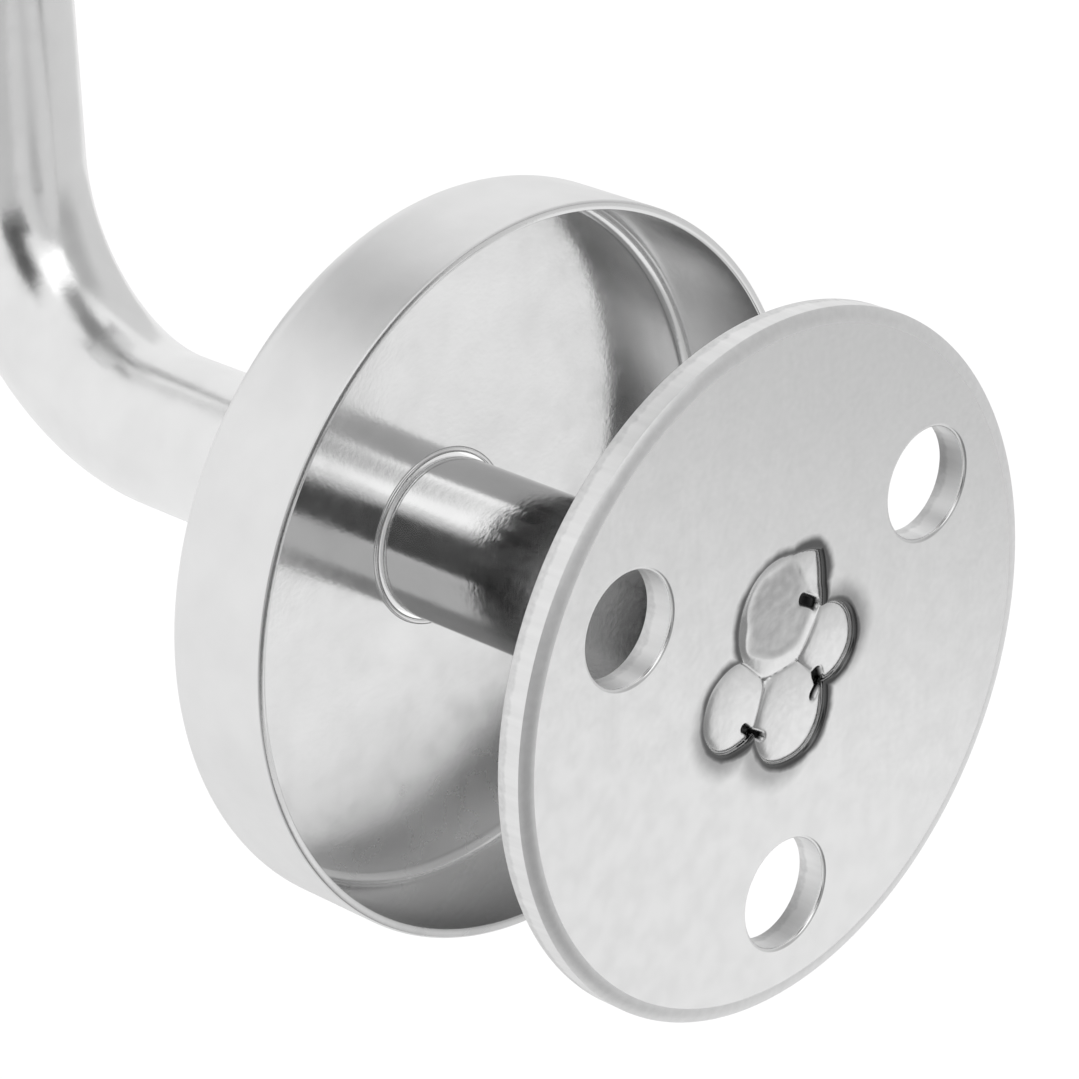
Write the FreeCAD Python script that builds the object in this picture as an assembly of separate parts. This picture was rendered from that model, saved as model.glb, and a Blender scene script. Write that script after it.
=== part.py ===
"""Wall bracket for a round handrail, in stainless steel.

A bent round bar is welded into a punched wall plate and carries a curved saddle for the rail.
A pressed cover slides along the bar and hides the plate and its screws.

Frame: millimetres, +Z up. The origin is the centre of the wall plate's back face and the wall
is the plane Y = 0, so the bar leaves the wall along -Y and its riser stands up along +Z.
"""
import FreeCAD, Part
import os
from math import acos, asin, cos, degrees, radians, sin, sqrt
from FreeCAD import Vector

# Round bar
bar_d = 12.0             # bar diameter
wall_to_riser = 78.5     # wall to the riser's centre line, which is the rail's centre too
bend_r = 17.5            # centre-line radius of the bend
seat_height = 64.0       # bar's axis to the underside of the rail

# Wall plate, punched from sheet
plate_d = 50.0
plate_t = 2.2
roll_w = 1.1             # rolled-over edge on the back: its width across the face
roll_h = 0.35            # and its drop at the rim
edge_break = 0.15        # broken edge of the front rim
screw_count = 3
screw_d = 8.0
screw_pcd = 34.2
screw_first = 30.0       # angle of the first screw hole from +X towards +Z
screw_chamfer = 0.2

# Spot welds between the bar's end and the plate, flush with the plate's back
weld_depth = 0.8         # depth of the weld pocket under the back face
weld_drop = 0.4          # edge of a spot below the back face
weld_crown = 0.03        # top of a spot below the back face
# each spot: its angle round the bar, how far its centre lies inside the bar's edge, how far
# short of the bar's axis it stops
top_angle, top_inset, top_stop = 88.5, 2.1, -0.35
right_angle, right_inset, right_stop = -13.8, 1.2, 1.65
low_angle, low_inset, low_stop = 258.7, 2.4, 0.0
left_angle, left_inset, left_stop = 174.9, 1.5, 1.7

# Pressed cover
cover_gap = 1.15         # plate's edge to the cover's inner wall
cover_sheet = 0.7
cover_depth = 9.9        # rim to the outer face of the floor, at the floor's edge
cover_corner = 2.6       # outer radius between wall and floor
cover_dome = 0.85        # how far the middle of the floor bulges out past its edge
cover_rim = 22.5         # wall to the rim, as the cover stands on the bar
collar_gap = 0.2         # bar to the drawn collar
collar_lip = 0.4         # collar's end above the floor's inner face
collar_t = 0.5           # collar's wall, thinned by drawing
collar_draw = 0.8        # draw radius at the collar's mouth

# Saddle that carries the rail
rail_d = 42.4
saddle_t = 2.5
saddle_len = 60.0        # along the rail
saddle_w = 24.0          # across the rail
saddle_corner = 4.0
rail_screw_d = 5.5
rail_screw_pitch = 44.0
bead_r = 1.9             # weld bead between riser and saddle

# Flats that stand for a small curve turned about an axis, which keeps the facets few
corner_flat_count = 5
small_flat_count = 2

bar_r = bar_d / 2
riser_y = -wall_to_riser
rail_z = seat_height + rail_d / 2
saddle_r = rail_d / 2 + saddle_t
UP = Vector(0, 0, 1)
TO_WALL = Vector(0, 1, 0)
ALONG_RAIL = Vector(1, 0, 0)


def spot_centres():
    """Centre (x, z) and radius of each spot weld."""
    out = []
    for angle, inset, stop in ((top_angle, top_inset, top_stop), (right_angle, right_inset, right_stop),
                               (low_angle, low_inset, low_stop), (left_angle, left_inset, left_stop)):
        reach = bar_r - inset
        out.append((reach * cos(radians(angle)), reach * sin(radians(angle)), reach - stop))
    return out


def screw_centres():
    """Centre (x, z) of each wall screw hole."""
    out = []
    for i in range(screw_count):
        angle = radians(screw_first + 360.0 * i / screw_count)
        out.append((screw_pcd / 2 * cos(angle), screw_pcd / 2 * sin(angle)))
    return out


def curve(centre, radius, a0, a1, flats):
    """Points along an arc from angle a0 to a1 in degrees, both ends included."""
    angles = [radians(a0 + (a1 - a0) * i / flats) for i in range(flats + 1)]
    return [(centre[0] + radius * cos(a), centre[1] + radius * sin(a)) for a in angles]


def turned(points, axis=TO_WALL, place=Vector(0, 0, 0)):
    """Solid turned about an axis through place, from the (radius, height) points of its half section."""
    out = Vector(0, 0, 1).cross(axis) if axis.z < 0.5 else Vector(1, 0, 0)
    ring = [place + out * r + axis * h for r, h in points]
    return Part.Face(Part.makePolygon(ring + ring[:1])).revolve(place, axis, 360)


def weld_pocket():
    """Space the spot welds fill in the back of the plate."""
    spots = [Part.makeCylinder(radius, weld_depth, Vector(x, -weld_depth, z), TO_WALL)
             for x, z, radius in spot_centres()]
    return spots[0].multiFuse(spots[1:])


def base_plate():
    r = plate_d / 2
    roll_r = (roll_w ** 2 + roll_h ** 2) / (2 * roll_h)
    roll_end = degrees(asin((roll_r - roll_h) / roll_r))
    section = [(0, 0)]
    section += curve((r - roll_w, -roll_r), roll_r, 90, roll_end, small_flat_count)
    section += [(r, -plate_t + edge_break), (r - edge_break, -plate_t), (0, -plate_t)]
    plate = turned(section)
    for x, z in screw_centres():
        hole = Part.makeCylinder(screw_d / 2, plate_t, Vector(x, -plate_t, z), TO_WALL)
        mouth = Part.makeCone(screw_d / 2, screw_d / 2 + screw_chamfer, screw_chamfer,
                              Vector(x, -screw_chamfer, z), TO_WALL)
        plate = plate.cut(hole).cut(mouth)
    bar_hole = Part.makeCylinder(bar_r, plate_t, Vector(0, -plate_t, 0), TO_WALL)
    return plate.cut(bar_hole).cut(weld_pocket())


def arm():
    """Bar from the weld pocket through the bend to the saddle, its top coped to the saddle."""
    bend_y = riser_y + bend_r
    stem = Part.makeCylinder(bar_r, -bend_y - weld_depth, Vector(0, bend_y, 0), TO_WALL)
    section = Part.Face(Part.Wire(Part.makeCircle(bar_r, Vector(0, bend_y, 0), TO_WALL)))
    bend = section.revolve(Vector(0, bend_y, bend_r), Vector(-1, 0, 0), 90)
    riser = Part.makeCylinder(bar_r, rail_z - bend_r, Vector(0, riser_y, bend_r), UP)
    cope = Part.makeCylinder(saddle_r, 2 * saddle_len, Vector(-saddle_len, riser_y, rail_z), ALONG_RAIL)
    riser = riser.cut(cope)
    return stem.fuse(bend).fuse(riser).removeSplitter()


def wall_weld():
    """Four overlapping spots, each a low dome, that fuse the bar's end to the plate."""
    rise = weld_drop - weld_crown
    spots = []
    for x, z, radius in spot_centres():
        dome_r = (radius ** 2 + rise ** 2) / (2 * rise)
        edge = degrees(acos(radius / dome_r))
        section = curve((0, -weld_crown - dome_r), dome_r, 90, edge, small_flat_count)
        section += [(radius, -weld_depth), (0, -weld_depth)]
        spots.append(turned(section, place=Vector(x, 0, z)))
    return spots[0].multiFuse(spots[1:])


def cover():
    """Pressed cup with a slightly domed floor, and a short collar drawn towards the wall round the bar."""
    outer = plate_d / 2 + cover_gap + cover_sheet
    inner = outer - cover_sheet
    corner = min(cover_corner, cover_depth - cover_sheet)
    bore = bar_r + collar_gap
    rim = -cover_rim
    back = rim - cover_depth
    dome = back - cover_dome
    lip = dome + cover_sheet + collar_lip
    middle = (outer - corner, back + corner)
    section = [(outer, rim), (inner, rim)]
    section += curve(middle, corner - cover_sheet, 0, -90, corner_flat_count)
    section += [(bore + collar_t, dome + cover_sheet), (bore + collar_t, lip), (bore, lip)]
    section += curve((bore + collar_draw, dome + collar_draw), collar_draw, 180, 270, small_flat_count)
    section += curve(middle, corner, -90, 0, corner_flat_count)
    return turned(section)


def saddle():
    """Strip bent round the rail's underside, with two screw holes up into the rail."""
    x, y = saddle_len / 2, saddle_w / 2
    blank = Part.makeBox(saddle_len, saddle_w, rail_z - seat_height + saddle_t,
                         Vector(-x, riser_y - y, seat_height - saddle_t))
    upright = [e for e in blank.Edges if abs(e.tangentAt(e.FirstParameter).z) > 0.99]
    blank = blank.makeFillet(min(saddle_corner, 0.45 * saddle_w), upright)
    start = Vector(-saddle_len, riser_y, rail_z)
    outside = Part.makeCylinder(saddle_r, 2 * saddle_len, start, ALONG_RAIL)
    rail = Part.makeCylinder(rail_d / 2, 2 * saddle_len, start, ALONG_RAIL)
    strip = blank.common(outside).cut(rail)
    for side in (-1, 1):
        foot = Vector(side * rail_screw_pitch / 2, riser_y, seat_height - 2 * saddle_t)
        strip = strip.cut(Part.makeCylinder(rail_screw_d / 2, 4 * saddle_t, foot, UP))
    return strip


def saddle_weld():
    """Bead round the top of the riser, against the underside of the saddle."""
    crown = seat_height - saddle_t
    middle = (bar_r + bead_r / 2, 0)
    section = [(bar_r, 2 * bead_r), (bar_r, -bead_r * sqrt(0.75))]
    section += curve(middle, bead_r, -120, 0, small_flat_count)[1:]
    section += curve(middle, bead_r, 0, 60, small_flat_count)[1:]
    bead = turned(section, UP, Vector(0, riser_y, crown))
    outside = Part.makeCylinder(saddle_r, 2 * saddle_len, Vector(-saddle_len, riser_y, rail_z), ALONG_RAIL)
    return bead.cut(outside)


os.makedirs("parts", exist_ok=True)
pieces = {
    "base_plate": base_plate(),
    "arm": arm(),
    "wall_weld": wall_weld(),
    "cover": cover(),
    "saddle": saddle(),
    "saddle_weld": saddle_weld(),
}
for name, shape in pieces.items():
    box = shape.BoundBox
    print("%-12s solids %d valid %s volume %.1f  x %.2f..%.2f  y %.2f..%.2f  z %.2f..%.2f" % (
        name, len(shape.Solids), shape.isValid(), shape.Volume,
        box.XMin, box.XMax, box.YMin, box.YMax, box.ZMin, box.ZMax))
    shape.exportStep("parts/%s.step" % name)
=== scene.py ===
"""Wall bracket for a round handrail, in stainless steel, with its pressed cover part way along the bar."""
import math

import bmesh
import bpy
import numpy as np
from mathutils import Matrix, Vector, noise


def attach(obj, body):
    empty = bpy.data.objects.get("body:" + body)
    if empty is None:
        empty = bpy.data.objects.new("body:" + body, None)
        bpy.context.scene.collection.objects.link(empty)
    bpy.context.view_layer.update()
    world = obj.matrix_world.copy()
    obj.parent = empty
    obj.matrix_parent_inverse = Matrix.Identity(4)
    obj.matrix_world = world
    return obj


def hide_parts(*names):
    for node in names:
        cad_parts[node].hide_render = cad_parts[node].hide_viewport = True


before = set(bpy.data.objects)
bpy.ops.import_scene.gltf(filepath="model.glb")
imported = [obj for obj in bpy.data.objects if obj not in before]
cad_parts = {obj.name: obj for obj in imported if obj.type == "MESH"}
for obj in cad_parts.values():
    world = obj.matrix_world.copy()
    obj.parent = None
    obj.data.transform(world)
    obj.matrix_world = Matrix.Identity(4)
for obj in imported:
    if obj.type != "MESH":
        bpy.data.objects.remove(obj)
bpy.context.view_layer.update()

# ---------------------------------------------------------------- the studio
# The bracket hangs over a white table in a white tent. The tent is open on the camera's side, so
# the polished steel mirrors a softbox, the room's dark edge and the wall past the tent as bands.
azimuth, elevation, tilt = math.radians(134.87), math.radians(25.16), math.radians(-1.82)
shift_right, shift_up, distance = -0.0163, 0.008725, 0.29865
towards_camera = Vector((math.sin(azimuth) * math.cos(elevation),
                         -math.cos(azimuth) * math.cos(elevation),
                         math.sin(elevation)))
level_right = Vector((math.cos(azimuth), math.sin(azimuth), 0))
level_up = towards_camera.cross(level_right)
right = level_right * math.cos(tilt) + level_up * math.sin(tilt)
up = level_up * math.cos(tilt) - level_right * math.sin(tilt)
lens = bpy.data.cameras.new("camera")
lens.sensor_width = 36
lens.lens = 149.45
lens.clip_start = 0.02
lens.clip_end = 20
camera = bpy.data.objects.new("camera", lens)
stand = right * shift_right + up * shift_up + towards_camera * distance
camera.matrix_world = Matrix.Translation(stand) @ Matrix((right, up, towards_camera)).transposed().to_4x4()
bpy.context.scene.collection.objects.link(camera)
bpy.context.scene.camera = camera
bpy.context.scene.view_settings.view_transform = "Standard"

world = bpy.data.worlds.new("tent")
bpy.context.scene.world = world
world.use_nodes = True
tent = world.node_tree
tent.nodes.clear()
look = tent.nodes.new("ShaderNodeTexCoord").outputs["Generated"]


def wire(tree, operation, a, b=None):
    """A maths node of the tree on sockets or plain numbers; its output."""
    node = tree.nodes.new("ShaderNodeMath")
    node.operation = operation
    for socket, value in zip(node.inputs, (a, b)):
        if isinstance(value, bpy.types.NodeSocket):
            tree.links.new(value, socket)
        elif value is not None:
            socket.default_value = value
    return node.outputs[0]


def ease(tree, value, start, end, low=0.0, high=1.0):
    """low up to start, passing smoothly to high at end."""
    node = tree.nodes.new("ShaderNodeMapRange")
    node.interpolation_type = "SMOOTHSTEP"
    tree.links.new(value, node.inputs["Value"])
    for name, number in (("From Min", start), ("From Max", end), ("To Min", low), ("To Max", high)):
        node.inputs[name].default_value = number
    return node.outputs["Result"]


def towards(tree, level, goal, share):
    """level moved that share of the way to goal."""
    return wire(tree, "ADD", level, wire(tree, "MULTIPLY", wire(tree, "SUBTRACT", goal, level), share))


def along(direction):
    """How much a ray into the tent points in the direction, 1 for straight along it."""
    node = tent.nodes.new("ShaderNodeVectorMath")
    node.operation = "DOT_PRODUCT"
    tent.links.new(look, node.inputs[0])
    node.inputs[1].default_value = direction
    return node.outputs["Value"]


# bearing of the middle from +Y towards +X, height above level, half width and half height, all in
# degrees; softness of the edge; how bright the steel sees it
panels = [(-65, 15, 55, 40.3, 0.07, 0.70),   # room wall past the tent's edge
          (-37, 22, 21, 31, 0.30, 0.46),     # its darker part
          (38, -36, 24, 26, 0.05, 0.60),     # table on the camera's side
          (-9, -33, 23, 22, 0.10, 0.26),     # the table in the bracket's shade
          (5, 38, 20, 13, 0.05, 1.42),       # softbox
          (25, 0, 33, 8.5, 0.05, 0.12),      # dark edge of the room at table height
          (47, 13, 13, 19, 0.12, 0.08)]      # whoever stands behind the camera
tent_level, ceiling_level = 0.93, 0.25
level = tent_level
for bearing, height, half_w, half_h, soft, bright in panels:
    bearing, height = math.radians(bearing), math.radians(height)
    ahead = Vector((math.sin(bearing) * math.cos(height), math.cos(bearing) * math.cos(height),
                    math.sin(height)))
    across = Vector((math.cos(bearing), -math.sin(bearing), 0))
    depth = wire(tent, "MAXIMUM", along(ahead), 0.001)
    share = 1.0
    for axis, half in ((across, half_w), (across.cross(ahead), half_h)):
        reach = math.tan(math.radians(half))
        offset = wire(tent, "ABSOLUTE", wire(tent, "DIVIDE", along(axis), depth))
        share = wire(tent, "MULTIPLY", share, ease(tent, offset, reach - soft, reach + soft, 1.0, 0.0))
    level = towards(tent, level, bright, share)
# a dark strip of ceiling shows through the top of the tent
across_strip = ease(tent, wire(tent, "ABSOLUTE", along((1, 0, 0))), 0.12, 0.30, 1.0, 0.0)
ceiling = wire(tent, "MULTIPLY", across_strip, ease(tent, along((0, 0, 1)), 0.66, 0.86))
level = towards(tent, level, ceiling_level, ceiling)
steel_sees = tent.nodes.new("ShaderNodeBackground")
tent.links.new(level, steel_sees.inputs["Strength"])
white = tent.nodes.new("ShaderNodeBackground")
for node in (steel_sees, white):
    node.inputs["Color"].default_value = (1, 1, 1, 1)
choose = tent.nodes.new("ShaderNodeMixShader")
tent.links.new(tent.nodes.new("ShaderNodeLightPath").outputs["Is Glossy Ray"], choose.inputs["Fac"])
tent.links.new(white.outputs[0], choose.inputs[1])
tent.links.new(steel_sees.outputs[0], choose.inputs[2])
tent.links.new(choose.outputs[0], tent.nodes.new("ShaderNodeOutputWorld").inputs["Surface"])

table_z, table_half = -0.22, 4
table_corners = [(x * table_half, y * table_half, table_z) for x, y in ((-1, -1), (1, -1), (1, 1), (-1, 1))]
floor_mesh = bpy.data.meshes.new("floor")
floor_mesh.from_pydata(table_corners, [], [(0, 1, 2, 3)])
table = bpy.data.objects.new("floor", floor_mesh)
bpy.context.scene.collection.objects.link(table)
table_white = bpy.data.materials.new("table_white")
table_white.use_nodes = True
cloth = table_white.node_tree.nodes["Principled BSDF"]
cloth.inputs["Base Color"].default_value = (0.8, 0.8, 0.8, 1)
cloth.inputs["Roughness"].default_value = 1
cloth.inputs["Specular IOR Level"].default_value = 0
cloth.inputs["Emission Color"].default_value = (1, 1, 1, 1)
cloth.inputs["Emission Strength"].default_value = 0.24
table.data.materials.append(table_white)
table.visible_glossy = False

# ---------------------------------------------------------------- wall plate
# A disc punched from 2.2 mm stainless sheet, rolled over at its back edge by the punch, with
# three screw holes and, in the middle, the pocket where the bar's end is spot welded in.
plate_r = 0.025
plate_t = 0.0022
roll_w, roll_h = 0.0011, 0.00035
edge_break = 0.00012
screw_r, screw_break = 0.004, 0.00024
screw_circle_r, screw_angles = 0.0171, (30, 150, 270)
bar_r = 0.006
weld_depth, pocket_break = 0.0008, 0.0003
# from above the wall side to past the front, for the punches
over, past = 0.001, -0.004
# centre x, z and radius of the four spot welds, as seen from the wall: top, left below, bottom, right
weld_spots = [(0.000102, 0.003899, 0.00425), (0.004662, -0.001145, 0.00315),
              (-0.000706, -0.003530, 0.0036), (-0.004482, 0.000400, 0.0028)]


def arc(centre, radius, start, end, steps):
    """(radius, y) points on an arc of a half section, its angles in degrees."""
    angles = [math.radians(start + (end - start) * k / steps) for k in range(steps + 1)]
    return [(centre[0] + radius * math.cos(a), centre[1] + radius * math.sin(a)) for a in angles]


def as_piece(name, made, sharp=None):
    """The finished bmesh as an object, smooth apart from any edges over sharp degrees."""
    bmesh.ops.recalc_face_normals(made, faces=made.faces)
    mesh = bpy.data.meshes.new(name)
    made.to_mesh(mesh)
    made.free()
    mesh.shade_smooth()
    if sharp:
        mesh.set_sharp_from_angle(angle=math.radians(sharp))
    piece = bpy.data.objects.new(name, mesh)
    bpy.context.scene.collection.objects.link(piece)
    return piece


def bake(piece, sharp):
    """Make the piece's modifiers a plain mesh, smooth apart from edges over sharp degrees."""
    bpy.context.view_layer.update()
    mesh = bpy.data.meshes.new_from_object(piece.evaluated_get(bpy.context.evaluated_depsgraph_get()))
    piece.modifiers.clear()
    piece.data = mesh
    mesh.shade_smooth()
    mesh.set_sharp_from_angle(angle=math.radians(sharp))
    return mesh


def lathe(name, section, steps, centre=(0, 0), closed=True, sharp=30, swell=lambda turn: 0):
    """Piece turned about a line along Y through centre (x, z) from (radius, y) points, its radius
    swelled by what swell gives for each angle."""
    made = bmesh.new()
    turns = [2 * math.pi * k / steps for k in range(steps)]
    rings = []
    for r, y in section:
        if r < 1e-9:
            rings.append([made.verts.new((centre[0], y, centre[1]))] * steps)
        else:
            rings.append([made.verts.new((centre[0] + (r + swell(t)) * math.cos(t), y,
                                          centre[1] + (r + swell(t)) * math.sin(t))) for t in turns])
    pairs = list(zip(rings, rings[1:]))
    if closed:
        pairs.append((rings[-1], rings[0]))
    for a, b in pairs:
        for k in range(steps):
            n = (k + 1) % steps
            corners = list(dict.fromkeys((a[k], b[k], b[n], a[n])))
            if len(corners) > 2:
                made.faces.new(corners)
    if not closed:
        made.faces.new(rings[0])
        made.faces.new(rings[-1])
    return as_piece(name, made, sharp)


roll_r = (roll_w ** 2 + roll_h ** 2) / (2 * roll_h)
roll_end = math.degrees(math.asin((roll_r - roll_h) / roll_r))
section = arc((plate_r - roll_w, -roll_r), roll_r, 90, roll_end, 14)
section += arc((plate_r - edge_break, -plate_t + edge_break), edge_break, 0, -90, 4)
plate = lathe("wall_plate", section, 360, closed=False)


def broken_edge(r, edge, bottom, steps):
    """Section of a punch of radius r down to bottom, which rounds the hole's mouth by edge."""
    return (arc((r + edge, -edge), edge, 180, 90, steps)
            + [(r + edge, over), (0, over), (0, bottom), (r, bottom)])


punches = []
for angle in screw_angles:
    place = [screw_circle_r * math.cos(math.radians(angle)), screw_circle_r * math.sin(math.radians(angle))]
    punches.append(lathe("punch", broken_edge(screw_r, screw_break, past, 5), 96, place))
# a weld spot's edge strays a little, and the top one's runs out to a corner on one side
spot_stray = 0.00016
corner_turn, corner_half, corner_reach = 138, 30, 0.00095


def spot_swell(spot):
    """How far the edge of a weld spot strays from its circle, by angle."""
    def swell(turn):
        x = spot[0]
        stray = noise.noise(Vector((math.cos(turn), math.sin(turn), x * 3000)) * 1.3) * spot_stray
        if spot == weld_spots[0]:
            off = abs((math.degrees(turn) - corner_turn + 180) % 360 - 180)
            stray += corner_reach * max(0.0, 1 - off / corner_half) ** 1.3
        return stray
    return swell


for spot in weld_spots:
    dip = broken_edge(spot[2], pocket_break, -weld_depth, 6)
    punches.append(lathe("pocket", dip, 180, spot[:2], swell=spot_swell(spot)))
bar_hole = [(bar_r, -weld_depth / 2), (0, -weld_depth / 2), (0, past), (bar_r, past)]
punches.append(lathe("bar_hole", bar_hole, 128))
# between three of the spots the plate melted away as well
gap_x, gap_z, gap_r = 0.0017, -0.0001, 0.0011
gap = [(gap_r, over), (0, over), (0, -weld_depth), (gap_r, -weld_depth)]
punches.append(lathe("gap", gap, 60, (gap_x, gap_z)))
for punch in punches:
    cut = plate.modifiers.new("cut", "BOOLEAN")
    cut.operation = "DIFFERENCE"
    cut.solver = "EXACT"
    cut.object = punch
mesh = bake(plate, 24)
for punch in punches:
    bpy.data.objects.remove(punch)
# the flat faces stay flat right up to the roll and the broken edges
flat = [abs(f.normal.y) > 0.99999 for f in mesh.polygons]
beside = {}
for f in mesh.polygons:
    for key in f.edge_keys:
        beside.setdefault(key, []).append(flat[f.index])
for e in mesh.edges:
    sides = beside.get(e.key, [])
    if len(sides) == 2 and sides[0] != sides[1]:
        e.use_edge_sharp = True


def steel(name, roughness, base=0.84):
    """Bare metal of one roughness, for each finish to add its own pattern to."""
    metal = bpy.data.materials.new(name)
    metal.use_nodes = True
    shader = metal.node_tree.nodes["Principled BSDF"]
    shader.inputs["Base Color"].default_value = (base, base, base, 1)
    shader.inputs["Metallic"].default_value = 1
    shader.inputs["Roughness"].default_value = roughness
    return metal, metal.node_tree, shader


def speckle(tree, scale, detail=3.0, stretch=(1, 1, 1)):
    """Noise on the piece's own coordinates, scale in features per metre, around 0.5."""
    where = tree.nodes.new("ShaderNodeTexCoord")
    squeeze = tree.nodes.new("ShaderNodeMapping")
    squeeze.inputs["Scale"].default_value = stretch
    tree.links.new(where.outputs["Object"], squeeze.inputs["Vector"])
    grain = tree.nodes.new("ShaderNodeTexNoise")
    grain.inputs["Scale"].default_value = scale
    grain.inputs["Detail"].default_value = detail
    tree.links.new(squeeze.outputs[0], grain.inputs["Vector"])
    return grain.outputs["Fac"]


def uneven(tree, scale, detail, depth):
    """Noise of that depth, half of it above zero and half below."""
    return wire(tree, "MULTIPLY", wire(tree, "SUBTRACT", speckle(tree, scale, detail), 0.5), depth)


def own_place(tree):
    """X, Y and Z of the piece's own coordinates."""
    split = tree.nodes.new("ShaderNodeSeparateXYZ")
    tree.links.new(tree.nodes.new("ShaderNodeTexCoord").outputs["Object"], split.inputs[0])
    return split.outputs


def relief(tree, shader, heights, depth):
    """Bump the shader by heights given in parts of depth metres."""
    bump = tree.nodes.new("ShaderNodeBump")
    bump.inputs["Distance"].default_value = depth
    tree.links.new(heights, bump.inputs["Height"])
    tree.links.new(bump.outputs[0], shader.inputs["Normal"])


def greys(tree, value, dark, light):
    """Colour running from dark to light as value goes from 0 to 1."""
    ramp = tree.nodes.new("ShaderNodeValToRGB")
    ramp.color_ramp.elements[0].color = (dark, dark, dark * 1.01, 1)
    ramp.color_ramp.elements[1].color = (light, light, light, 1)
    tree.links.new(value, ramp.inputs["Fac"])
    return ramp.outputs["Color"]


# the sheet's own face has a fine grain and cloudy patches, and is darkened by heat round the welds, with
# painted shade in the grooves there
plate_face, tree, shader = steel("mill_finish_steel", 0.3)
where = tree.nodes.new("ShaderNodeTexCoord").outputs["Object"]
flatten = tree.nodes.new("ShaderNodeVectorMath")
flatten.operation = "MULTIPLY"
flatten.inputs[1].default_value = (1, 0, 1)
tree.links.new(where, flatten.inputs[0])


def from_spot(x, z, r):
    """Distance from the edge of a disc on the plate, in millimetres, negative inside."""
    node = tree.nodes.new("ShaderNodeVectorMath")
    node.operation = "DISTANCE"
    tree.links.new(flatten.outputs[0], node.inputs[0])
    node.inputs[1].default_value = (x, 0, z)
    return wire(tree, "MULTIPLY", wire(tree, "SUBTRACT", node.outputs["Value"], r), 1000.0)


# a black edge all round the welds and the top one's corner, heat tint with the grooves' shade painted into
# it, and a wider grey heat tint at three of them
corner_tint_and_shade = (-0.0022, 0.0061, 0.0021)
tints = [(-0.0052, 0.0008, 0.0028, 0.6), (0.0052, -0.0018, 0.0031, 0.55), (0.0004, -0.0041, 0.0036, 0.45)]
edge = 100.0
for x, z, r in weld_spots + [corner_tint_and_shade]:
    edge = wire(tree, "MINIMUM", edge, from_spot(x, z, r))
ragged = uneven(tree, 700, 2, 0.5)
heat_tint_and_groove_shade = ease(tree, wire(tree, "ADD", edge, ragged), 0.30, 1.00, 0.90, 0.0)
for x, z, r, share in tints:
    tint = ease(tree, wire(tree, "ADD", from_spot(x, z, r), ragged), -0.3, 1.5, share, 0.0)
    heat_tint_and_groove_shade = wire(tree, "MAXIMUM", heat_tint_and_groove_shade, tint)
place = own_place(tree)
wall_side = ease(tree, place["Y"], -0.0016, -0.0009)
# only the wall side takes the heat tint and the painted groove shade
clear_of_tint_and_shade = wire(tree, "SUBTRACT", 1.0, wire(tree, "MULTIPLY", heat_tint_and_groove_shade, wall_side))
# painted shade: the face's colour is a little darker towards the upper right, seen from the wall, where it is
# less lit
slant = wire(tree, "SUBTRACT", place["Z"], wire(tree, "MULTIPLY", place["X"], 0.5))
painted_slant_shade = ease(tree, slant, -0.018, 0.026, 1.02, 0.83)
grain = wire(tree, "ADD", uneven(tree, 160, 4, 0.05), uneven(tree, 1900, 2, 0.08))
tone = wire(tree, "MULTIPLY", wire(tree, "ADD", grain, painted_slant_shade), clear_of_tint_and_shade)
tree.links.new(greys(tree, tone, 0.05, 0.87), shader.inputs["Base Color"])
tree.links.new(ease(tree, speckle(tree, 500, 3), 0.3, 0.7, 0.20, 0.26), shader.inputs["Roughness"])
relief(tree, shader, speckle(tree, 2400, 2), 0.000003)

# the punched walls are streaked, with a rougher band where the slug broke away
plate_edge, tree, shader = steel("punched_edge_steel", 0.44, 0.82)
streaks = speckle(tree, 1500, 3, (1, 0.12, 1))
break_line = wire(tree, "ADD", own_place(tree)["Y"], wire(tree, "MULTIPLY", streaks, 0.0006))
torn = ease(tree, break_line, -0.0014, -0.0011, 1.0, 0.0)
rough_torn = wire(tree, "MULTIPLY", wire(tree, "MULTIPLY", torn, speckle(tree, 2600, 4)), 0.28)
tone = wire(tree, "SUBTRACT", ease(tree, streaks, 0.2, 0.8, 0.92, 1.0), rough_torn)
tree.links.new(greys(tree, tone, 0.05, 0.88), shader.inputs["Base Color"])
relief(tree, shader, wire(tree, "ADD", streaks, rough_torn), 0.000012)

mesh.materials.clear()
mesh.materials.append(plate_face)
mesh.materials.append(plate_edge)
for f in mesh.polygons:
    rolled = math.hypot(f.center.x, f.center.z) > plate_r - roll_w and f.center.y > -plate_t + 0.0001
    punched = abs(f.normal.y) < 0.6 and f.center.y < -0.0003
    f.material_index = 1 if rolled or punched else 0
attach(plate, "bracket")
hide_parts("base_plate")

# ---------------------------------------------------------------- spot welds
# Four puddles fuse the end of the bar to the plate from behind. The top one was struck last, over
# the others, and set with a flat dish in it. All stay just below the plate's face.
step = 0.00009
# how much lower each puddle lies than the top one; the bottom one lies over its two neighbours
layers = {weld_spots[0]: 0, weld_spots[2]: 0.00005, weld_spots[3]: 0.00008, weld_spots[1]: 0.00011}
# below the plate's face: the middle of a puddle, what it falls by to its edge, and the deepest edge
crown, sag, edge_drop, deepest_edge = 0.00003, 0.00018, 0.00016, 0.00055
valley_w, valley_dip = 0.00005, 0.00005
dish_x, dish_z, dish_w, dish_h = 0.00030, 0.00440, 0.00315, 0.00340
dish_lip, dish_dip = 0.00008, 0.00007
pit_dip, pit_soft = 0.00034, 0.00005
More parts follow.
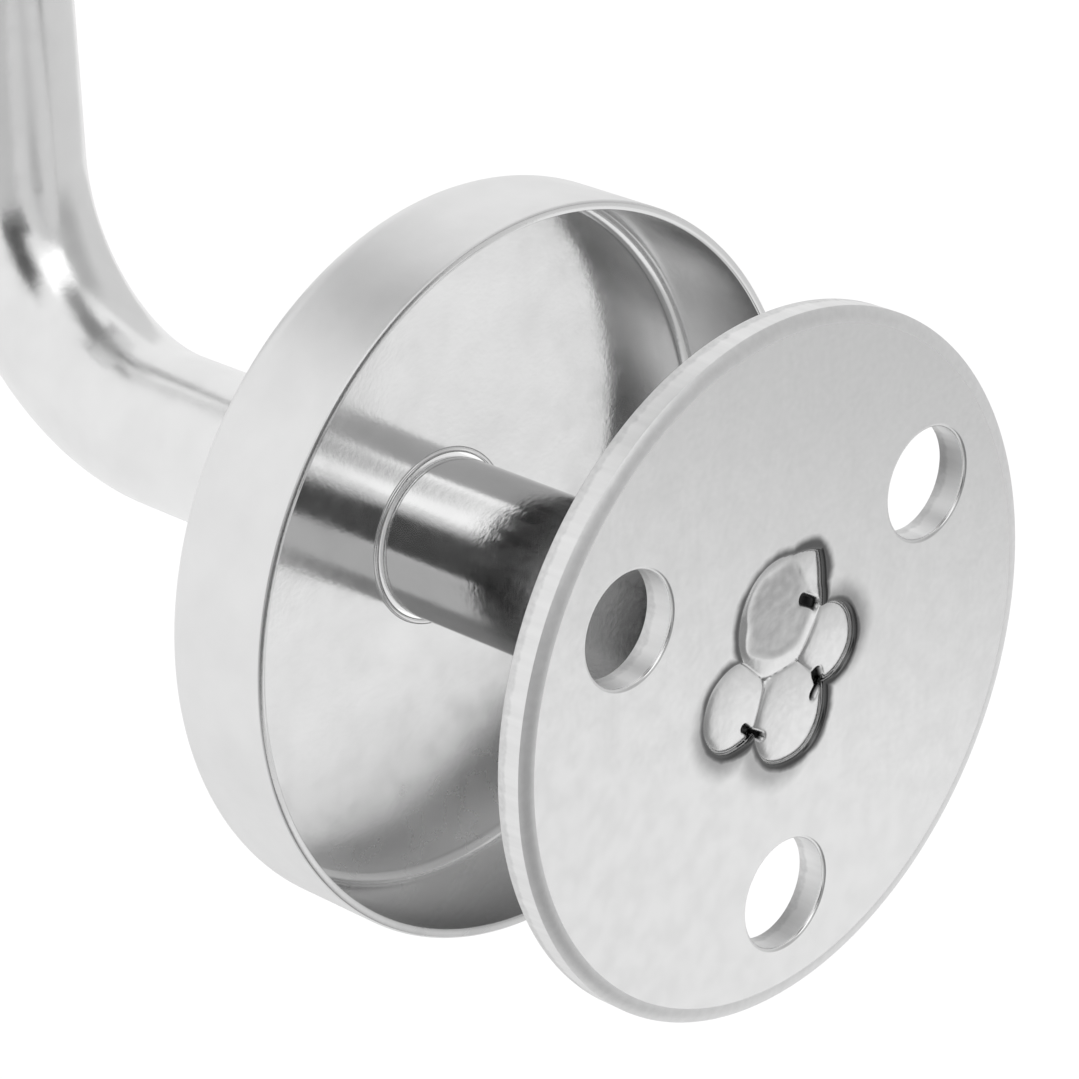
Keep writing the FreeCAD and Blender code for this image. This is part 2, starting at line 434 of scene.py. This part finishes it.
# each pit runs from one x, z to another and is this wide on each side of that line
pits = [((-0.0022, 0.0044), (-0.0034, 0.0036), 0.00038), ((-0.0036, -0.0017), (-0.0039, -0.0024), 0.00044),
        ((-0.0039, -0.0025), (-0.0032, -0.0031), 0.00034), ((0.0037, -0.0030), (0.0031, -0.0036), 0.00027),
        ((0.0031, -0.0036), (0.0021, -0.0042), 0.00023)]
swells = {spot: spot_swell(spot) for spot in weld_spots}


def spot_reach(spot, x, z):
    """Distance of x, z from the spot's middle, and the spot's radius that way."""
    return (math.hypot(x - spot[0], z - spot[1]),
            spot[2] + swells[spot](math.atan2(z - spot[1], x - spot[0])))


def past_edge(spot, x, z):
    """How far x, z lies outside the spot."""
    d, r = spot_reach(spot, x, z)
    return d - r


def bell(off, width):
    """1 at no offset, falling to nothing past the width."""
    return math.exp(-(off / width) ** 2)


def below(value, width):
    """1 well below zero and 0 well above it, changing over the width."""
    return 1 / (1 + math.exp(value / width))


def to_line(p, a, b):
    """Distance of p from the line between a and b."""
    a, b, p = Vector(a), Vector(b), Vector(p)
    t = max(0.0, min(1.0, (p - a).dot(b - a) / (b - a).length_squared))
    return (p - a - (b - a) * t).length


def puddle(x, z):
    """Height of the weld's face (y) and how dark it is, burnt and with painted shade in its grooves, at x, z.
    """
    faces = []
    for spot, low in layers.items():
        d, r = spot_reach(spot, x, z)
        faces.append(-crown - low - sag * (d / r) ** 2 - edge_drop * min(d / r, 1.3) ** 12)
    second, top = sorted(faces)[-2:]
    valley = bell(top - second, valley_w)
    y = max(top, -deepest_edge) - valley_dip * valley
    # the valleys between puddles and their sunken edges are darkened: heat tint, with the grooves' shade
    # painted in
    burnt_and_shaded = 0.30 * valley + 0.35 * below(top + 0.00046, 0.00002)
    # the dish in the top puddle is grey and mottled, with its lip highest towards the lower left
    if past_edge(weld_spots[0], x, z) <= 0:
        stray = noise.noise(Vector((x, z, 7)) * 420) * 0.16
        dish = math.hypot((x - dish_x) / dish_w, (z - dish_z) / dish_h) + stray
        inside = below(dish - 0.96, 0.05)
        lean = 0.5 + 0.5 * math.cos(math.atan2(z - dish_z, x) - math.radians(-60))
        y += dish_lip * bell(dish - 1.05, 0.12) * (0.1 + 0.9 * lean) - dish_dip * inside
        mottle = noise.noise(Vector((x, z, 5)) * 1500) * 0.5 + 0.5
        y += inside * (mottle - 0.5) * 0.00003
        burnt_and_shaded = max(burnt_and_shaded, inside * (0.30 + 0.14 * mottle))
    y += noise.noise(Vector((x, z, 0)) * 500) * 0.000016 + noise.noise(Vector((z, x, 1)) * 1500) * 0.000004
    near = min(to_line((x, z), a, b) - wide for a, b, wide in pits)
    near += noise.noise(Vector((x, z, 3)) * 900) * 0.00010
    y -= pit_dip * below(near, pit_soft)
    return max(min(y, -0.00002), -0.00078), max(burnt_and_shaded, below(near - 0.00004, 0.00004))


made = bmesh.new()
tint_and_shade_layer = made.verts.layers.float.new("heat_tint_and_groove_shade")
grid = {}


def corner(i, k):
    """Corner i, k of the grid, made when it is first asked for."""
    if (i, k) not in grid:
        grid[i, k] = made.verts.new((i * step, 0, k * step))
    return grid[i, k]


reach = int(0.0086 / step)
for i in range(-reach, reach):
    for k in range(-reach, reach):
        mx, mz = (i + 0.5) * step, (k + 0.5) * step
        beyond = min(past_edge(spot, mx, mz) for spot in weld_spots)
        if beyond < -0.35 * step or math.hypot(mx - gap_x, mz - gap_z) < gap_r:
            made.faces.new((corner(i, k), corner(i + 1, k), corner(i + 1, k + 1), corner(i, k + 1)))
# the grid's border is drawn out to the spots' edges, and a skirt goes down from there to the bar
border = [e for e in made.edges if len(e.link_faces) == 1]
for v in {v for e in border for v in e.verts}:
    spot = min(weld_spots, key=lambda s: past_edge(s, v.co.x, v.co.z))
    away = Vector((v.co.x - spot[0], 0, v.co.z - spot[1])).normalized()
    v.co = Vector((spot[0], 0, spot[1])) + away * (spot_reach(spot, v.co.x, v.co.z)[1] - 0.000004)
for v in made.verts:
    v.co.y, v[tint_and_shade_layer] = puddle(v.co.x, v.co.z)
feet = {}
for e in border:
    for v in e.verts:
        if v not in feet:
            feet[v] = made.verts.new((v.co.x, -weld_depth, v.co.z))
    a, b = e.verts
    made.faces.new((a, b, feet[b], feet[a]))
bmesh.ops.holes_fill(made, edges=[e for e in made.edges if len(e.link_faces) == 1], sides=0)
welds = as_piece("spot_welds", made, 70)
weld_metal, tree, shader = steel("weld_metal", 0.24)
# the weld metal is darkened by this attribute: heat tint, with painted shade in the grooves
burnt_and_shaded = tree.nodes.new("ShaderNodeAttribute")
burnt_and_shaded.attribute_name = "heat_tint_and_groove_shade"
tone = wire(tree, "SUBTRACT", ease(tree, speckle(tree, 1400, 4), 0.25, 0.75, 0.93, 1.0), burnt_and_shaded.outputs["Fac"])
tree.links.new(greys(tree, tone, 0.006, 0.9), shader.inputs["Base Color"])
relief(tree, shader, speckle(tree, 3000, 3), 0.000008)
welds.data.materials.append(weld_metal)
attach(welds, "bracket")
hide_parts("wall_weld")

# ---------------------------------------------------------------- bar
# One length of 12 mm polished round bar, bent once: out from the wall, then up to the saddle,
# where its end is coped to fit the underside.
bend_r = 0.0175
riser_y = -0.0785
rail_r = 0.0212
rail_z = 0.064 + rail_r
saddle_t = 0.0025
saddle_under_r = rail_r + saddle_t
uncoped = 0.02  # the bar's end is this far below the rail's axis before it is coped
bend = bpy.data.node_groups.new("bent_bar", "GeometryNodeTree")
sizes = {"Radius": bar_r, "Sides": 128, "Wall End": weld_depth, "Reach": -riser_y, "Bend Radius": bend_r,
         "Rail Height": rail_z, "Rail Radius": saddle_under_r}
for name in sizes:
    kind = "NodeSocketInt" if name == "Sides" else "NodeSocketFloat"
    bend.interface.new_socket(name, in_out="INPUT", socket_type=kind)
bend.interface.new_socket("Metal", in_out="INPUT", socket_type="NodeSocketMaterial")
bend.interface.new_socket("Geometry", in_out="OUTPUT", socket_type="NodeSocketGeometry")
given = bend.nodes.new("NodeGroupInput").outputs


def geo(kind, **sockets):
    """A Geometry Nodes node with the named sockets linked or set; the node."""
    node = bend.nodes.new(kind)
    for name, value in sockets.items():
        socket = node.inputs[name.replace("_", " ")]
        if isinstance(value, bpy.types.NodeSocket):
            bend.links.new(value, socket)
        else:
            socket.default_value = value
    return node


# three corners of the bar's line, filleted, swept with a circle, coped with the rail's cylinder
index = geo("GeometryNodeInputIndex").outputs[0]
past_wall, past_bend = wire(bend, "GREATER_THAN", index, 0.5), wire(bend, "GREATER_THAN", index, 1.5)
from_wall = towards(bend, given["Wall End"], given["Reach"], past_wall)
y = wire(bend, "MULTIPLY", from_wall, -1.0)
z = wire(bend, "MULTIPLY", past_bend, wire(bend, "SUBTRACT", given["Rail Height"], uncoped))
corners = geo("GeometryNodeMeshLine", Count=3).outputs[0]
where = geo("ShaderNodeCombineXYZ", Y=y, Z=z).outputs[0]
corners = geo("GeometryNodeSetPosition", Geometry=corners, Position=where).outputs[0]
line = geo("GeometryNodeMeshToCurve", Mesh=corners).outputs[0]
fillet = geo("GeometryNodeFilletCurve", Curve=line, Radius=given["Bend Radius"])
fillet.mode = "POLY"
fillet.inputs["Count"].default_value = 64
ring = geo("GeometryNodeCurvePrimitiveCircle", Resolution=given["Sides"], Radius=given["Radius"]).outputs[0]
swept = geo("GeometryNodeCurveToMesh", Curve=fillet.outputs[0], Profile_Curve=ring, Fill_Caps=True).outputs[0]
rail = geo("GeometryNodeMeshCylinder", Vertices=360, Radius=given["Rail Radius"], Depth=0.04).outputs[0]
rail_y = wire(bend, "MULTIPLY", given["Reach"], -1.0)
rail_middle = geo("ShaderNodeCombineXYZ", Y=rail_y, Z=given["Rail Height"]).outputs[0]
rail = geo("GeometryNodeTransform", Geometry=rail, Translation=rail_middle,
           Rotation=(0, math.pi / 2, 0)).outputs[0]
coped = geo("GeometryNodeMeshBoolean")
coped.operation = "DIFFERENCE"
coped.solver = "EXACT"
for part, name in ((swept, "Mesh 1"), (rail, "Mesh 2")):
    metal_part = geo("GeometryNodeSetMaterial", Geometry=part, Material=given["Metal"])
    bend.links.new(metal_part.outputs[0], coped.inputs[name])
whole = geo("GeometryNodeRealizeInstances", Geometry=coped.outputs[0]).outputs[0]
dressed = geo("GeometryNodeSetMaterial", Geometry=whole, Material=given["Metal"]).outputs[0]
bend.links.new(dressed, bend.nodes.new("NodeGroupOutput").inputs[0])
# the stem is polished bright; from just past the cover the bar is duller, and rippled by the bending
bar_finish, tree, shader = steel("polished_bar_steel", 0.07)
out = own_place(tree)["Y"]
bent = ease(tree, out, -0.045, -0.034, 1.0, 0.0)
matt = ease(tree, speckle(tree, 500, 4), 0.35, 0.75, 0.05, 0.12)
tree.links.new(wire(tree, "ADD", matt, wire(tree, "MULTIPLY", bent, 0.13)), shader.inputs["Roughness"])
tone = wire(tree, "MULTIPLY", ease(tree, speckle(tree, 220, 3), 0.2, 0.8, 0.94, 1.0),
            ease(tree, out, -0.037, -0.033, 1.0, 0.90))
tree.links.new(greys(tree, tone, 0.05, 0.87), shader.inputs["Base Color"])
ripple_share = wire(tree, "ADD", 1.2, wire(tree, "MULTIPLY", bent, 5.0))
ripple = wire(tree, "MULTIPLY", speckle(tree, 260, 2), ripple_share)
relief(tree, shader, wire(tree, "ADD", speckle(tree, 2300, 3), ripple), 0.000006)
sizes["Metal"] = bar_finish
bar = bpy.data.objects.new("bar", bpy.data.meshes.new("bar"))
bpy.context.scene.collection.objects.link(bar)
build = bar.modifiers.new("bent_bar", "NODES")
build.node_group = bend
for socket in bend.interface.items_tree:
    if socket.in_out == "INPUT":
        build[socket.identifier] = sizes[socket.name]
bake(bar, 40)
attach(bar, "bracket")
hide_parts("arm")

# ---------------------------------------------------------------- cover
# A cup pressed from 0.7 mm polished sheet, with a slightly domed floor and a short collar drawn
# towards the wall. It is loose on the bar and pushes up to the wall to hide the plate.
cover_r = 0.02685
sheet = 0.0007
rim_y = -0.0225
cover_depth = 0.0099
edge_y = rim_y - cover_depth
rim_break, inner_rim_break = 0.0002, 0.00012
corner_r, inner_corner_r = 0.0026, 0.0010
wall_thickens, floor_thins = 0.00015, 0.0003  # what the pressing adds and takes away at the corner
dome = 0.00085
bore = bar_r + 0.0002
collar_t, collar_turn_r, collar_lip = 0.00042, 0.0008, 0.00013
middle = (cover_r - corner_r, edge_y + corner_r)
collar_y = edge_y - dome


def bulge(r):
    """y of the domed floor's front at radius r."""
    return edge_y - dome * (1 - ((r - bore) / (middle[0] - bore)) ** 2)


def bulge_inside(r):
    """y of the floor's other side, towards the wall."""
    return bulge(r) + sheet - floor_thins * ((r - bore) / (middle[0] - bore)) ** 3


floor_radii = np.linspace(middle[0], bore + collar_t + 0.0001, 22)
section = arc((cover_r - rim_break, rim_y - rim_break), rim_break, 0, 90, 4)
section += arc((cover_r - sheet + inner_rim_break, rim_y - inner_rim_break), inner_rim_break, 90, 180, 3)
inner_middle = (cover_r - sheet - wall_thickens - inner_corner_r,
                edge_y + sheet - floor_thins + inner_corner_r)
section += arc(inner_middle, inner_corner_r, 0, -90, 16)
section += [(r, bulge_inside(r)) for r in floor_radii[1:]]
lip_y = collar_y + sheet + collar_lip
section += [(bore + collar_t * (0.5 + 0.5 * x), lip_y - collar_lip * (1 - y))
            for x, y in arc((0, 0), 1, 0, 180, 16)]
section += arc((bore + collar_turn_r, collar_y + collar_turn_r), collar_turn_r, 180, 270, 10)
section += [(r, bulge(r)) for r in floor_radii[-4::-1]]
section += arc(middle, corner_r, -90, 0, 26)[1:]
cover = lathe("cover_cup", section, 320, sharp=50)
# the floor keeps its polish; pressing leaves the outside satin and the inside of the wall dull. Painted shade
# darkens the floor towards its bottom and the inside of the wall towards the rim
for name, rough, base, grain, depth in (("polished_sheet_steel", 0.13, 0.86, 2600, 0.0000045),
                                        ("satin_sheet_steel", 0.40, 0.86, 1800, 0.000006),
                                        ("drawn_sheet_steel_painted_shade", 0.20, 0.80, 1800, 0.000008)):
    finish, tree, shader = steel(name, rough)
    place = own_place(tree)
    matt = ease(tree, speckle(tree, 420, 4), 0.3, 0.8, rough - 0.02, rough + 0.05)
    tone = ease(tree, speckle(tree, 200, 3), 0.2, 0.8, 0.94, 1.0)
    if name == "polished_sheet_steel":
        matt = wire(tree, "ADD", matt, ease(tree, place["Z"], -0.021, -0.006, 0.13, 0.0))
        # painted shade: the floor's colour darkens towards its bottom, standing in for the dark reflection
        # there
        tone = wire(tree, "MULTIPLY", tone, ease(tree, place["Z"], -0.025, -0.012, 0.80, 1.0))
    if name == "drawn_sheet_steel_painted_shade":
        # painted shade: the inside of the wall darkens towards the rim, standing in for the darker room it
        # reflects
        tone = wire(tree, "MULTIPLY", tone, ease(tree, place["Y"], -0.0315, rim_y, 1.0, 0.40))
    tree.links.new(matt, shader.inputs["Roughness"])
    tree.links.new(greys(tree, tone, 0.05, base), shader.inputs["Base Color"])
    waves = wire(tree, "MULTIPLY", speckle(tree, 200, 2), 0.4)
    relief(tree, shader, wire(tree, "ADD", speckle(tree, grain, 3), waves), depth)
    cover.data.materials.append(finish)
for f in cover.data.polygons:
    r = math.hypot(f.center.x, f.center.z)
    outward = (f.normal.x * f.center.x + f.normal.z * f.center.z) / r
    if f.normal.y < -0.05 or outward > 0.5 and r > bore + 0.002:
        f.material_index = 1
    elif outward < -0.8 and r > 0.02 and f.center.y < rim_y - rim_break:
        f.material_index = 2
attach(cover, "cover")
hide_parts("cover")

# ---------------------------------------------------------------- saddle
# A strip of 2.5 mm plate bent round the underside of the 42.4 mm rail, its corners rounded, with
# a hole each side of the bar for the screws that go up into the rail.
half_x, half_y = 0.030, 0.012
saddle_corner = 0.004
rail_screw_r, rail_screw_x = 0.00275, 0.022


def saddle_edge(x, y):
    """Distance outside the strip's outline or into a hole, in plan."""
    dx, dy = abs(x) - half_x + saddle_corner, abs(y - riser_y) - half_y + saddle_corner
    outline = math.hypot(max(dx, 0), max(dy, 0)) + min(max(dx, dy), 0) - saddle_corner
    return max(outline, rail_screw_r - math.hypot(abs(x) - rail_screw_x, y - riser_y))


# cut flat on a grid, as an outer and an inner sheet, then walled in and bent
made = bmesh.new()
step = 0.0004
reach_x, reach_y = math.ceil(half_x / step) + 1, math.ceil(half_y / step) + 1
levels = ({}, {})
for i in range(-reach_x, reach_x):
    for k in range(-reach_y, reach_y):
        if saddle_edge((i + 0.5) * step, riser_y + (k + 0.5) * step) < -0.3 * step:
            for level, spots in enumerate(levels):
                face = []
                for a, b in ((i, k), (i + 1, k), (i + 1, k + 1), (i, k + 1)):
                    if (a, b) not in spots:
                        spots[a, b] = made.verts.new((a * step, riser_y + b * step, level))
                    face.append(spots[a, b])
                made.faces.new(face if level else face[::-1])
for v in {v for e in made.edges if len(e.link_faces) == 1 for v in e.verts}:
    for _ in range(3):
        d = saddle_edge(v.co.x, v.co.y)
        slope = Vector((saddle_edge(v.co.x + 1e-6, v.co.y) - d, saddle_edge(v.co.x, v.co.y + 1e-6) - d, 0))
        v.co -= slope.normalized() * d
opposite = {v: levels[0][spot] for spot, v in levels[1].items()}
for e in [e for e in made.edges if len(e.link_faces) == 1 and e.verts[0].co.z > 0.5]:
    loop = e.link_loops[0]
    first, second = loop.link_loop_next.vert, loop.vert
    made.faces.new((first, second, opposite[second], opposite[first]))


def under_rail(r, y):
    """Height of the underside of a tube of radius r on the rail's axis, at y."""
    return rail_z - math.sqrt(r ** 2 - (y - riser_y) ** 2)


for v in made.verts:
    v.co.z = under_rail(rail_r if v.co.z > 0.5 else saddle_under_r, v.co.y)
saddle = as_piece("saddle_strip", made)
soften = saddle.modifiers.new("soften", "BEVEL")
soften.width = 0.00022
soften.segments = 3
soften.limit_method = "ANGLE"
soften.angle_limit = math.radians(50)
bake(saddle, 35)
# a rolled finish, tinted by the heat of the bead round the bar
saddle_finish, tree, shader = steel("saddle_steel", 0.3)
axis = tree.nodes.new("ShaderNodeVectorMath")
axis.operation = "MULTIPLY"
axis.inputs[1].default_value = (1, 1, 0)
tree.links.new(tree.nodes.new("ShaderNodeTexCoord").outputs["Object"], axis.inputs[0])
away = tree.nodes.new("ShaderNodeVectorMath")
away.operation = "DISTANCE"
away.inputs[1].default_value = (0, riser_y, 0)
tree.links.new(axis.outputs[0], away.inputs[0])
from_bar = wire(tree, "ADD", away.outputs["Value"], uneven(tree, 500, 2, 0.0012))
heat = ease(tree, from_bar, 0.0090, 0.0112, 0.5, 0.0)
tone = wire(tree, "SUBTRACT", ease(tree, speckle(tree, 300, 4), 0.2, 0.8, 0.93, 1.0), heat)
tree.links.new(greys(tree, tone, 0.05, 0.86), shader.inputs["Base Color"])
tree.links.new(ease(tree, speckle(tree, 500, 3), 0.3, 0.7, 0.26, 0.35), shader.inputs["Roughness"])
relief(tree, shader, speckle(tree, 1500, 2), 0.000006)
saddle.data.materials.append(saddle_finish)
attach(saddle, "bracket")
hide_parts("saddle")

# ---------------------------------------------------------------- saddle bead
# The stainless fillet weld that holds the saddle to the top of the bar. It is laid in short
# overlapping steps, which leave ripples all the way round.
bead_r = 0.0019
bead_z = rail_z - saddle_under_r
bead_sinks = 0.0002
rounds, laps = 288, 26
made = bmesh.new()
rings = []
for k in range(rounds):
    turn = 2 * math.pi * k / rounds
    ripple = abs(math.sin(turn * 17 + 0.5 * math.sin(turn * 3)))
    ring = []
    for j in range(laps):
        a = 2 * math.pi * j / laps
        stray = noise.noise(Vector((math.cos(turn) * 3, math.sin(turn) * 3, a))) * 0.00006
        thick = bead_r * (0.90 + 0.08 * ripple) + stray
        r = bar_r + bead_r / 2 + thick * math.cos(a) * (1.0 if math.cos(a) > 0 else 0.9)
        x, y = r * math.cos(turn), riser_y + r * math.sin(turn)
        z = min(bead_z + thick * math.sin(a) * 0.85, under_rail(saddle_under_r, y) + bead_sinks)
        ring.append(made.verts.new((x, y, z)))
    rings.append(ring)
for a, b in zip(rings, rings[1:] + rings[:1]):
    for j in range(laps):
        made.faces.new((a[j], b[j], b[(j + 1) % laps], a[(j + 1) % laps]))
bead = as_piece("saddle_bead", made)
bead_metal, tree, shader = steel("bead_metal", 0.26)
tree.links.new(greys(tree, ease(tree, speckle(tree, 700, 4), 0.25, 0.75, 0.72, 1.0), 0.02, 0.85),
               shader.inputs["Base Color"])
relief(tree, shader, speckle(tree, 2200, 3), 0.00002)
bead.data.materials.append(bead_metal)
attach(bead, "bracket")
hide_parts("saddle_weld")
